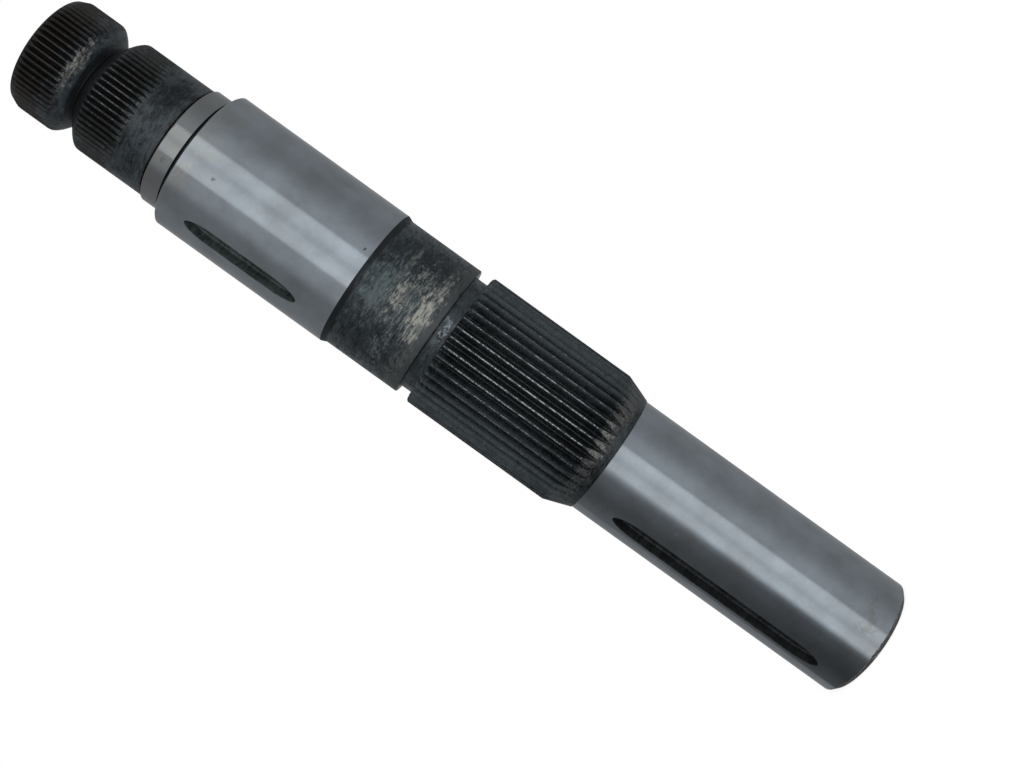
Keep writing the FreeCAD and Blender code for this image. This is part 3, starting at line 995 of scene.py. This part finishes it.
@dataclass
class SplinedHead:
    """Neck and head with one fine spline, which a V groove with round shoulders cuts in two.

    The corners of the groove are places from its middle plane, radii and roundings. Its walls have
    no painted shade from a radius out, which is larger on the neck's side; below it they darken to the root.
    """

    low: float = 362.4
    high: float = 429.0
    vee_height: float = 402.95
    vee_corners: tuple[tuple[float, float, float], ...] = (
        (-5.35, 25.1, 0.0), (0.0, 18.7, 0.9), (5.6, 25.4, 3.0), (7.4, 27.0, 1.6), (12.0, 27.0, 0.0))
    full_depth: float = 382.2
    cutter: float = 14.0
    bevel_length: float = 3.6
    bevel_height: float = 1.6
    neck_edge: float = 0.3
    least_run: float = 0.6
    least_drop: float = 0.3
    # Radii from which the walls of the V groove have no painted shade; the neck's wall is shaded further out.
    unshaded_neck: float = 27.4
    unshaded_head: float = 22.0
    teeth: Serration = Serration(27.0, 60, 0.8, 0.2, 0.0, crest_bevel=0.1, root_sag=0.03)
    centre: CentreHole = CentreHole()
    # Its gap colour is the painted shade of the teeth's gaps and of the V groove's walls.
    finish: HeatScale = HeatScale(shine=0.75, roughness=0.34, gap="#0d0c0b", bare_steel="#5c5f60",
                                  tint="#f2faff", crest_wear=0.1, marks=HEAD_MARKS)

    def vee_wall(self) -> tuple[np.ndarray, np.ndarray]:
        """Draws a wall of the V groove, from its root up to the crests.

        Returns:
            Radii, and distances from the groove's middle plane.
        """
        rows = softened(self.vee_corners, steps=6)
        rows = rows[rows[:, 0] > -NEAR]
        rows = rows[:int(np.argmax(rows[:, 1] > self.teeth.radius - NEAR)) + 1]
        return rows[:, 1], rows[:, 0]

    def painted_shade(self, radius: np.ndarray | float, unshaded: float) -> np.ndarray | float:
        """Gives a wall of the V groove the tooth height of a gap, so that it gets the gap's painted shade.

        Args:
            radius: radii of points on the wall.
            unshaded: the radius from which the wall has no painted shade.

        Returns:
            A tooth height for each point: 0 at the groove's root and PLAIN where the wall has no painted
                shade.
        """
        root = self.vee_corners[1][1]
        radii = [root, root + 0.9, root + 1.3, unshaded - 1.5, unshaded]
        return np.interp(radius, radii, [0.0, 0.02, 0.88, 0.9, PLAIN])

    def wall_stations(self, gap: np.ndarray, height: np.ndarray, way: int,
                      unshaded: float) -> list[tuple[np.ndarray, np.ndarray, np.ndarray]]:
        """Leads each column down a wall of the V groove, from its radius over the teeth to the root.

        Args:
            gap: the columns' radii over the teeth.
            height: their tooth heights.
            way: -1 for the neck's wall and 1 for the head's.
            unshaded: the radius from which the wall has no painted shade.

        Returns:
            Heights, radii and tooth heights of each station, from the teeth in.
        """
        wall_radius, wall_place = self.vee_wall()
        bottom = wall_radius[0]
        stations = []
        for share in (1.0, 0.985, 0.95, 0.9, 0.84, 0.76, 0.67, 0.55, 0.4, 0.24, 0.1, 0.04, 0.012):
            radius = bottom + (gap - bottom) * share
            place = np.interp(radius, wall_radius, wall_place)
            shade_level = height if share == 1 else self.painted_shade(radius, unshaded)
            stations.append((self.vee_height + way * place, radius, shade_level))
        return stations

    def build(self) -> bpy.types.Object:
        """Builds the head.

        Each column keeps its radius g where the gap is whole. In the run-out a disc cutter of
        radius R lifts it by R - sqrt(R^2 - d^2) at a distance d past the end of full depth. At
        the V groove and at the end bevel it stops where those are as wide as g.

        Returns:
            The piece.
        """
        angles, gap, height = self.teeth.columns()
        crest = self.teeth.radius
        lift = crest - gap
        leave = self.full_depth - np.maximum(np.sqrt(2 * self.cutter * lift - lift ** 2), self.least_run)
        stations = [
            (self.low, crest - self.neck_edge, PLAIN),
            (self.low + self.neck_edge * 0.4, crest - self.neck_edge * 0.1, PLAIN),
            (self.low + self.neck_edge, crest, PLAIN),
            (self.low + 1.0, crest, PLAIN),
            (leave - 3.0, crest, PLAIN),
            (leave - 0.3, crest, PLAIN),
        ]
        for share in (0.0, 0.15, 0.3, 0.45, 0.6, 0.75, 0.88, 1.0):
            z = leave + (self.full_depth - leave) * share
            past = self.full_depth - z
            raised = gap + self.cutter - np.sqrt(self.cutter ** 2 - past ** 2)
            stations.append((z, np.minimum(raised, crest), PLAIN + (height - PLAIN) * share))
        bottom = self.vee_wall()[0][0]
        stations += self.wall_stations(gap, height, -1, self.unshaded_neck)
        stations += [(self.vee_height, bottom, self.painted_shade(bottom, self.unshaded_neck))]
        stations += self.wall_stations(gap, height, 1, self.unshaded_head)[::-1]
        rim = crest - self.bevel_height
        over = self.high - self.bevel_length + (crest - gap) / self.bevel_height * self.bevel_length
        over = np.minimum(over, self.high - self.least_drop)
        stations += [
            (over - self.least_drop, gap, height),
            (over, gap, height),
            (self.high, np.minimum(gap, rim), PLAIN),
            (self.high, rim - 1.2, PLAIN),
        ]
        hole = self.centre.corners(self.high, -1.0)
        stations += [(place, radius, PLAIN) for place, radius, _ in reversed(hole)]
        surface = Surface()
        surface.add_stations(stations, angles)
        scale = self.finish.material("splined_head_scale", crest)
        return surface.finish("splined_head", [scale, scale, scale])


# Studio


WHITE = (1.0, 1.0, 1.0, 1.0)
# Light through the cloth is faintly blue.
CLOTH_TINT = (0.98, 1.0, 1.03, 1.0)


def glowing_cloth(name: str) -> bpy.types.Material:
    """White diffusion cloth with lamps behind it, which gives the metal a soft, graded reflection.

    Args:
        name: the material's name.

    Returns:
        The material, whose level at each point is the mesh's glow.
    """
    material = bpy.data.materials.new(name)
    tree = empty_tree(material)
    level = add_node(tree, "Attribute", attribute_name="glow")
    cloth = add_node(tree, "Emission", {0: CLOTH_TINT, 1: level.outputs["Fac"]})
    add_node(tree, "OutputMaterial", {0: cloth.outputs[0]})
    return material


def hang_cloth(name: str, cloth: bpy.types.Material, points: np.ndarray,
               glow: np.ndarray) -> bpy.types.Object:
    """Hangs a cloth in the studio, which the camera doesn't see.

    Args:
        name: the object's name.
        cloth: its material.
        points: rows by columns of points in millimetres.
        glow: the glow of each point.

    Returns:
        The cloth's object.
    """
    numbers = np.arange(glow.size).reshape(glow.shape)
    quads = np.stack([numbers[:-1, :-1], numbers[:-1, 1:], numbers[1:, 1:], numbers[1:, :-1]], axis=-1)
    mesh = bpy.data.meshes.new(name)
    mesh.from_pydata(points.reshape(-1, 3) * MM, [], quads.reshape(-1, 4).tolist())
    set_levels(mesh, "glow", glow)
    mesh.materials.append(cloth)
    piece = bpy.data.objects.new(name, mesh)
    piece.visible_camera = False
    bpy.context.scene.collection.objects.link(piece)
    return piece


@dataclass(frozen=True)
class Studio:
    """A pale floor, a light tent, two softboxes beside the camera and a dark panel at the foot.

    Azimuths are in degrees from -Y towards +X, and a softbox's angle is added to the camera's. The
    angles of the tent and the panel turn the other way from the camera. Surroundings pairs an
    angle with the tent's glow there, panel_glow does so for the panel, and panel_fall pairs a height
    with a share of that.
    """

    azimuth: float = 49.4
    camera_distance: float = 587.0
    camera_height: float = 192.0
    look_height: float = 186.9
    roll_across: float = 0.584065
    roll_along: float = 0.811707
    focal_pixels: float = 1372.0
    picture_width: float = 1024.0
    sensor: float = 36.0
    softbox_angle: float = 15.5
    softbox_distance: float = 850.0
    softbox_width: float = 325.0
    softbox_height: float = 1500.0
    softbox_radiance: float = 0.55
    tent_radius: float = 3000.0
    opening: float = 173.0
    surroundings: tuple[tuple[float, float], ...] = (
        (-180, 1.0), (-175, 1.0), (-171, 0.33), (-143, 0.36), (-125, 0.38), (-105, 0.41), (-88, 0.38),
        (-73, 0.41), (-60, 0.48), (-47, 0.59), (-35, 0.65), (-27, 0.6), (-18, 0.66), (-11, 0.59),
        (-6, 0.53), (-3.5, 0.96), (3.5, 0.96), (6, 0.54), (11, 0.57), (18, 0.66), (27, 0.6), (35, 0.615),
        (47, 0.585), (53, 0.52), (60, 0.39), (67, 0.32), (88, 0.31), (105, 0.34), (125, 0.33),
        (143, 0.31), (171, 0.3), (175, 1.0))
    floor_radius: float = 1500.0
    floor_sides: int = 96
    floor_share: float = 0.6
    floor_glow: float = 0.87
    panel_offset: float = 170.0
    panel_glow: tuple[tuple[float, float], ...] = (
        (18, 1.2), (21, 0.93), (24, 0.7), (28, 0.42), (35, 0.25), (42, 0.22), (49, 0.195), (57, 0.165),
        (65, 0.145), (73, 0.14), (82, 0.155), (100, 0.2), (120, 0.22))
    panel_fall: tuple[tuple[float, float], ...] = ((-30, 0.66), (70, 1.0), (150, 1.1))

    def towards_camera(self, angle: float = 0.0) -> Vector:
        """Level unit vector from the shaft, at an angle from the camera."""
        turn = math.radians(self.azimuth + angle)
        return Vector((math.sin(turn), -math.cos(turn), 0.0))

    def ways(self) -> np.ndarray:
        """Unit vectors as rows: towards the camera, to its left as it stands upright, and up."""
        back, up = self.towards_camera(), Vector((0, 0, 1))
        return np.array([back, back.cross(up), up])

    def add_camera(self) -> None:
        """Puts the camera level beside the standing shaft, rolled so that the head is at the upper left."""
        back = self.towards_camera()
        side = back.cross(Vector((0, 0, 1)))
        eye = back * self.camera_distance + Vector((0, 0, self.camera_height))
        away = (eye - Vector((0, 0, self.look_height))).normalized()
        right = -self.roll_along * Vector((0, 0, 1)) - self.roll_across * side
        right = (right - away * right.dot(away)).normalized()
        up = away.cross(right)
        data = bpy.data.cameras.new("camera")
        data.sensor_width = self.sensor
        data.sensor_fit = "HORIZONTAL"
        data.lens = self.focal_pixels / self.picture_width * self.sensor
        data.clip_start = 10 * MM
        data.clip_end = 50.0
        camera = bpy.data.objects.new("camera", data)
        rotation = Matrix((right, up, away)).transposed().to_4x4()
        camera.matrix_world = Matrix.Translation(eye * MM) @ rotation
        bpy.context.scene.collection.objects.link(camera)
        bpy.context.scene.camera = camera

    def add_softbox(self, name: str, angle: float) -> None:
        """Adds a tall softbox that faces the shaft.

        A rectangle of a radiance L gives pi times L times its area in watts.

        Args:
            name: the lamp's name.
            angle: its angle from the camera.
        """
        away, up = self.towards_camera(angle), Vector((0, 0, 1))
        data = bpy.data.lights.new(name, "AREA")
        data.shape = "RECTANGLE"
        data.size = self.softbox_width * MM
        data.size_y = self.softbox_height * MM
        data.energy = self.softbox_radiance * math.pi * data.size * data.size_y
        lamp = bpy.data.objects.new(name, data)
        rotation = Matrix((up.cross(away), up, away)).transposed().to_4x4()
        place = away * self.softbox_distance + up * self.camera_height
        lamp.matrix_world = Matrix.Translation(place * MM) @ rotation
        lamp.visible_camera = False
        bpy.context.scene.collection.objects.link(lamp)

    def add_world(self) -> None:
        """Makes the background white, for the camera, for reflections and for everything else."""
        world = bpy.data.worlds.new("studio")
        bpy.context.scene.world = world
        tree = empty_tree(world)
        light = add_node(tree, "Background", {0: WHITE, 1: 1.0})
        add_node(tree, "OutputWorld", {0: light.outputs[0]})

    def add_tent(self) -> None:
        """Pitches a light tent round the shaft: a sphere of cloth, open behind, where white shows through.

        A point lies at radius R, at an angle a from the camera and elevation e from the shaft's
        middle: R cos e cos a towards the camera, R cos e sin a beside it and R sin e up. The cloth's
        glow follows a.
        """
        stops, levels = np.array(self.surroundings).T
        angles = np.unique(np.concatenate([stops, np.linspace(-self.opening, self.opening, 87)]))
        angles = angles[np.abs(angles) <= self.opening]
        turns = np.radians(angles)
        rises = np.radians(np.linspace(-90, 90, 37))[:, None]
        parts = (np.cos(rises) * np.cos(turns), np.cos(rises) * np.sin(turns), np.sin(rises))
        points = np.stack(np.broadcast_arrays(*parts), axis=-1) @ self.ways() * self.tent_radius
        points[..., 2] += self.look_height
        glow = np.tile(np.interp(angles, stops, levels), (len(rises), 1))
        hang_cloth("light_tent", glowing_cloth("tent_cloth"), points, glow)

    def add_floor(self) -> None:
        """Lays a pale round floor of matt paper under the foot, which takes the soft shadow.

        To the camera, a share of it is a glow just under white, so that it is as pale as the
        background. To reflections it is clear, so that the metal shows the background there too.
        """
        turns = np.linspace(0, 2 * math.pi, self.floor_sides, endpoint=False)
        rim = round_axis(np.array(self.floor_radius * MM), np.array(0.0), turns)
        mesh = bpy.data.meshes.new("floor")
        mesh.from_pydata(rim, [], [list(range(self.floor_sides))])
        material = bpy.data.materials.new("floor_paper")
        tree = empty_tree(material)
        path = add_node(tree, "LightPath")
        share = add_node(tree, "Math", {0: path.outputs["Is Camera Ray"], 1: self.floor_share},
                         operation="MULTIPLY")
        paper = add_node(tree, "BsdfDiffuse", {0: linear("#f0f0ef")})
        glow = add_node(tree, "Emission", {0: WHITE, 1: self.floor_glow / self.floor_share})
        lit = add_node(tree, "MixShader", {0: share.outputs[0], 1: paper.outputs[0], 2: glow.outputs[0]})
        mirrored = add_node(tree, "Math", {0: path.outputs["Is Glossy Ray"],
                                           1: path.outputs["Is Transmission Ray"]}, operation="MAXIMUM")
        clear = add_node(tree, "BsdfTransparent")
        mix = add_node(tree, "MixShader", {0: mirrored.outputs[0], 1: lit.outputs[0], 2: clear.outputs[0]})
        add_node(tree, "OutputMaterial", {0: mix.outputs[0]})
        mesh.materials.append(material)
        floor = bpy.data.objects.new("floor", mesh)
        bpy.context.scene.collection.objects.link(floor)

    def add_panel(self) -> None:
        """Hangs a dark panel beside the end journal, which only reflections see.

        It stands at an offset D beside the shaft, level with the view. A point that lies at an angle
        a from the camera is D / tan a towards the camera. The glow falls with the angle and, where
        the cloth isn't bright, towards the foot.
        """
        bright = 0.7
        angles = np.array([18, 20, 22, 24, 26, 28, 31, 35, 42, 49, 57, 65, 73, 82, 90, 100, 120], float)
        heights = np.array([-260, -80, -30, 20, 70, 110, 150], float)[:, None]
        glow = np.interp(angles, *np.array(self.panel_glow).T)
        fall = np.interp(heights, *np.array(self.panel_fall).T)
        reach = self.panel_offset / np.tan(np.radians(angles))
        parts = np.broadcast_arrays(reach, self.panel_offset, heights)
        points = np.stack(parts, axis=-1) @ self.ways()
        levels = np.where(glow < bright, glow * fall, glow)
        panel = hang_cloth("panel", glowing_cloth("panel_cloth"), points, levels)
        panel.visible_diffuse = False

    def build(self) -> None:
        """Sets up the camera, the lights and the floor."""
        self.add_camera()
        self.add_softbox("softbox_left", -self.softbox_angle)
        self.add_softbox("softbox_right", self.softbox_angle)
        self.add_world()
        self.add_tent()
        self.add_floor()
        self.add_panel()
        bpy.context.scene.view_settings.view_transform = "Standard"


def seat(name: str) -> tuple[float, float, float]:
    """Reads a ground seat from the frame's mounts.

    Args:
        name: the mount's name.

    Returns:
        Low end, high end and radius.
    """
    mount = next(mount for mount in frame["record"]["mounts"] if mount["name"] == name)
    middle = mount["pos_m"][2] / MM
    half = mount["dims"]["length_mm"] / 2
    return middle - half, middle + half, mount["dims"]["r_mm"]


def key_slot(name: str) -> KeySlot:
    """Reads a key slot from the frame's openings, whose boxes stop where a slot's ends grow narrow.

    Args:
        name: the opening's name.

    Returns:
        The slot, with both of its ends.
    """
    narrow_end = 11.5
    openings = frame["record"]["physics"]["openings"]
    low, high = next(opening["box_m"] for opening in openings if opening["name"] == name)
    return KeySlot(low[2] / MM - narrow_end, high[2] / MM + narrow_end)


def shaft_pieces() -> list[Journal | CoarseSpline | TurnedStretch | SplinedHead]:
    """Fits the shaft's pieces to the seats and key slots of the frame.

    Returns:
        The pieces, foot first.
    """
    end_low, end_high, end_radius = seat("end_journal")
    main_low, main_high, main_radius = seat("main_journal")
    band_low, band_high, band_radius = seat("seal_band")
    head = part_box("main_shaft")[1][2] / MM
    foot_bevel, head_bevel, collar_bevel = 2.0, 0.5, 2.5
    past_edge = 0.05
    relief_low, relief_high, relief_radius = 219.4, 225.2, 28.0
    collar_radius, undercut_radius, groove_radius = 31.4, 27.3, 26.4
    neck_low = band_high + 0.9
    main_high += head_bevel
    slot_scale = HeatScale("#333938", "#555c5b", crest_wear=0.0, roughness=0.5, shine=0.7)
    end_slot_scale = HeatScale("#1f2121", "#303232", crest_wear=0.0, roughness=0.5, shine=0.7)
    collar_scale = HeatScale(crest_wear=0.0, marks=COLLAR_MARKS)
    return [
        Journal("end_journal", end_low - foot_bevel, end_high, end_radius, key_slot("end_key_slot"),
                GroundSteel(marks=END_MARKS), end_slot_scale,
                foot=CentreHole(), foot_bevel=foot_bevel, window_columns=14),
        CoarseSpline(low=end_high, high=relief_low, foot_radius=end_radius, relief_radius=relief_radius),
        TurnedStretch("collar", [
            (relief_low, relief_radius + 0.5, 0.0),
            (relief_low, relief_radius, 0.5),
            (relief_high, relief_radius, 0.5),
            (relief_high, collar_radius, 0.6),
            (main_low - collar_bevel, collar_radius, 0.4),
            (main_low, main_radius, 0.0),
        ], (main_low, main_low), collar_scale, GroundSteel()),
        Journal("main_journal", main_low, main_high, main_radius, key_slot("journal_key_slot"),
                GroundSteel(marks=JOURNAL_MARKS), slot_scale,
                head_bevel=head_bevel, head_wall=undercut_radius),
        TurnedStretch("seal_band", [
            (main_high, undercut_radius + 0.5, 0.0),
            (main_high, undercut_radius, 0.4),
            (band_low, undercut_radius, 0.3),
            (band_low, band_radius, 0.3),
            (band_high, band_radius, 0.3),
            (band_high, groove_radius, 0.2),
            (neck_low, groove_radius, 0.2),
            (neck_low, groove_radius + 0.4, 0.0),
        ], (band_low - past_edge, band_high + past_edge), collar_scale,
            GroundSteel("#8b8e8c", "#84868a", marks=BAND_MARKS), groove_radius=band_radius - 0.4),
        SplinedHead(low=neck_low, high=head),
    ]


def main() -> None:
    """Builds the shaft's pieces in order and the studio, and reports each piece."""
    logging.basicConfig(level=logging.INFO, format="%(name)s: %(message)s")
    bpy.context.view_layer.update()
    for piece in shaft_pieces():
        piece.build()
    Studio().build()


if __name__ == "__main__":
    main()
